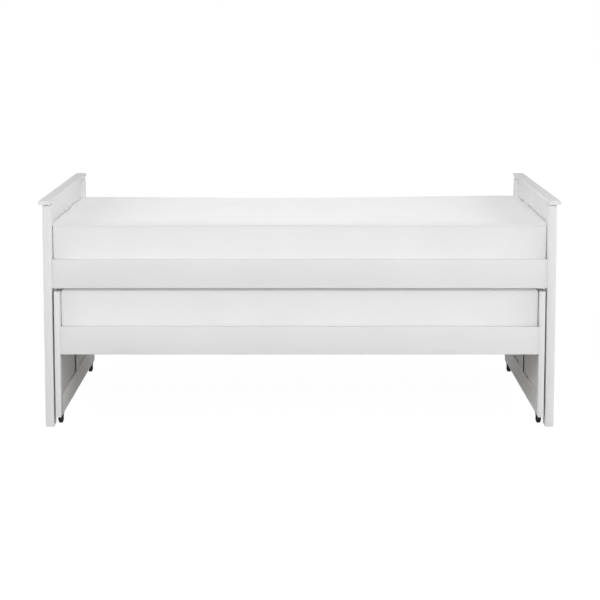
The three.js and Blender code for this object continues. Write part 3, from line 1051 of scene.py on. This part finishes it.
def bolt_caps(bed, end, post_names, materials):
    """Press-in caps over the bolts that hold each side rail to its post."""
    side = ENDS[end]
    form = Form()
    for face, post in zip(FACES, post_names):
        low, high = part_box(post)
        outer = high.x if side > 0 else low.x
        rail_low, rail_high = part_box(f"{bed}_{face}_side_rail")
        y = (rail_low.y + rail_high.y) / 2
        for z in (rail_low.z + BOLT_FROM_RAIL_EDGE, rail_high.z - BOLT_FROM_RAIL_EDGE):
            outline = cap_outline(BOLT_CAP_RADIUS, BOLT_CAP_HEIGHT)
            form.add(*turned_shape(outline, (outer, y, z), BOLT_CAP_STEPS, flip=side))
    form.piece(f"{bed}_{end}_bolt_caps", materials["cap_plastic"], f"{bed}_bed", "painted_wood")


def cap_plastic():
    """White moulded plastic, a shade cooler than the paint."""
    shader = Shader("cap_plastic", Specular_IOR_Level=0.5)
    grain = shader.noise(shader.place, scale=900.0)
    tone = shader.noise(shader.place, scale=70.0, detail=3.0)
    colour = shader.tones(tone, (0.3, (0.76, 0.765, 0.77)), (0.7, (0.80, 0.803, 0.806)))
    roughness = shader.between(tone, 0.30, 0.42)
    return shader.finish(colour, roughness, shader.bump(grain, 0.04 * MM))


# ---- stage ---------------------------------------------------------------------------
FLOOR_RADIUS = 40.0
FLOOR_SHADOW_SHARE = 0.10  # how much of its shading the camera sees in the white floor
FLOOR_FADE = (2.2, 6.0)  # and the radii between which that fades out
FLOOR_SHADE = 0.6  # the floor's own grey
FLOOR_GLOW = 1.08  # the white that the camera sees over it


def white_glow(shader, strength):
    glow = shader.add("ShaderNodeEmission")
    shader.feed(glow, "Strength", strength)
    return glow.outputs[0]


def blended(shader, share, first, second):
    node = shader.add("ShaderNodeMixShader")
    shader.feed(node, 0, share)
    shader.feed(node, 1, first)
    shader.feed(node, 2, second)
    return node.outputs[0]


def floor():
    """A pale floor that the camera sees as nearly white, with a faint shadow under the bed."""
    bpy.ops.mesh.primitive_circle_add(vertices=96, radius=FLOOR_RADIUS, fill_type="NGON")
    piece = bpy.context.object
    piece.name = "floor"
    shader = Shader("pale_floor", Roughness=0.9, Specular_IOR_Level=0.0)
    mottle = shader.noise(shader.place, scale=2.0, detail=3.0)
    pale, paler = ((FLOOR_SHADE + change,) * 3 for change in (-0.01, 0.01))
    shader.finish(shader.tones(mottle, (0.3, pale), (0.7, paler)))
    length = shader.add("ShaderNodeVectorMath", operation="LENGTH")
    shader.feed(length, 0, shader.place)
    fade = shader.add("ShaderNodeMapRange", interpolation_type="SMOOTHSTEP")
    shader.feed(fade, "Value", length.outputs["Value"])
    shader.feed(fade, "From Min", FLOOR_FADE[0])
    shader.feed(fade, "From Max", FLOOR_FADE[1])
    shader.feed(fade, "To Min", FLOOR_SHADOW_SHARE)
    shader.feed(fade, "To Max", 0.0)
    shaded = shader.surface.outputs[0]
    seen = blended(shader, fade.outputs[0], white_glow(shader, FLOOR_GLOW), shaded)
    path = shader.add("ShaderNodeLightPath")
    surface = blended(shader, path.outputs["Is Camera Ray"], shaded, seen)
    shader.feed(shader.tree.nodes["Material Output"], "Surface", surface)
    piece.data.materials.append(shader.material)


def world():
    """A soft dome, bright at the horizon and dark overhead, which the camera sees as white."""
    made = bpy.data.worlds.new("studio")
    bpy.context.scene.world = made
    made.use_nodes = True
    tree = made.node_tree
    split = tree.nodes.new("ShaderNodeSeparateXYZ")
    tree.links.new(tree.nodes.new("ShaderNodeTexCoord").outputs["Generated"], split.inputs[0])
    rise = tree.nodes.new("ShaderNodeMapRange")
    rise.inputs["To Min"].default_value = HORIZON_LIGHT
    rise.inputs["To Max"].default_value = ZENITH_LIGHT
    tree.links.new(split.outputs["Z"], rise.inputs["Value"])
    dome = tree.nodes["Background"]
    dome.inputs["Color"].default_value = (1.0, 1.0, 1.0, 1.0)
    tree.links.new(rise.outputs[0], dome.inputs["Strength"])
    seen = tree.nodes.new("ShaderNodeBackground")
    seen.inputs["Color"].default_value = (1.0, 1.0, 1.0, 1.0)
    path = tree.nodes.new("ShaderNodeLightPath")
    choice = tree.nodes.new("ShaderNodeMixShader")
    tree.links.new(path.outputs["Is Camera Ray"], choice.inputs[0])
    tree.links.new(dome.outputs[0], choice.inputs[1])
    tree.links.new(seen.outputs[0], choice.inputs[2])
    tree.links.new(choice.outputs[0], tree.nodes["World Output"].inputs[0])


def soft_light(name, place, target, size, power):
    light = bpy.data.lights.new(name, "AREA")
    light.shape = "RECTANGLE"
    light.size, light.size_y = size
    light.energy = power
    piece = bpy.data.objects.new(name, light)
    piece.location = place
    direction = Vector(target) - Vector(place)
    piece.rotation_euler = direction.to_track_quat("-Z", "Y").to_euler()
    piece.visible_camera = False
    bpy.context.scene.collection.objects.link(piece)


def camera():
    lens = bpy.data.cameras.new("camera")
    lens.sensor_width = 36.0
    lens.lens = CAMERA_LENS
    lens.shift_y = CAMERA_SHIFT
    piece = bpy.data.objects.new("camera", lens)
    piece.location = CAMERA_PLACE
    piece.rotation_euler = (math.pi / 2 - CAMERA_TILT, 0.0, 0.0)
    bpy.context.scene.collection.objects.link(piece)
    bpy.context.scene.camera = piece


# ---- assembly ------------------------------------------------------------------------
camera()
world()
floor()
for name, (place, target, size, power) in SOFT_LIGHTS.items():
    soft_light(f"{name}_softbox", place, target, size, power)
bpy.context.scene.view_settings.view_transform = "Standard"

materials = {
    **{f"painted_wood_{axis}": painted_wood(axis) for axis in "xyz"},
    "edge_highlight_and_wear": edge_highlight_and_wear(),
    "mattress_fabric": mattress_fabric(),
    "binding": binding_fabric(),
    "slat_wood": slat_wood(),
    "webbing": webbing(),
    "black_plastic": black_plastic(),
    "black_steel": black_steel(),
    "axle_steel": axle_steel(),
    "cap_plastic": cap_plastic(),
}
smooth = smooth_group()

painted_boards(materials, smooth)
slatted_base("upper", materials)
slatted_base("lower", materials)
for bed, feel in MATTRESS_FEEL.items():
    mattress(bed, feel, materials)
for end in ENDS:
    bolt_caps("upper", end, [f"{end}_{face}_post" for face in FACES], materials)
    bolt_caps("lower", end, [f"lower_{end}_{face}_leg" for face in FACES], materials)
    for face in FACES:
        caster(end, face, materials, smooth)
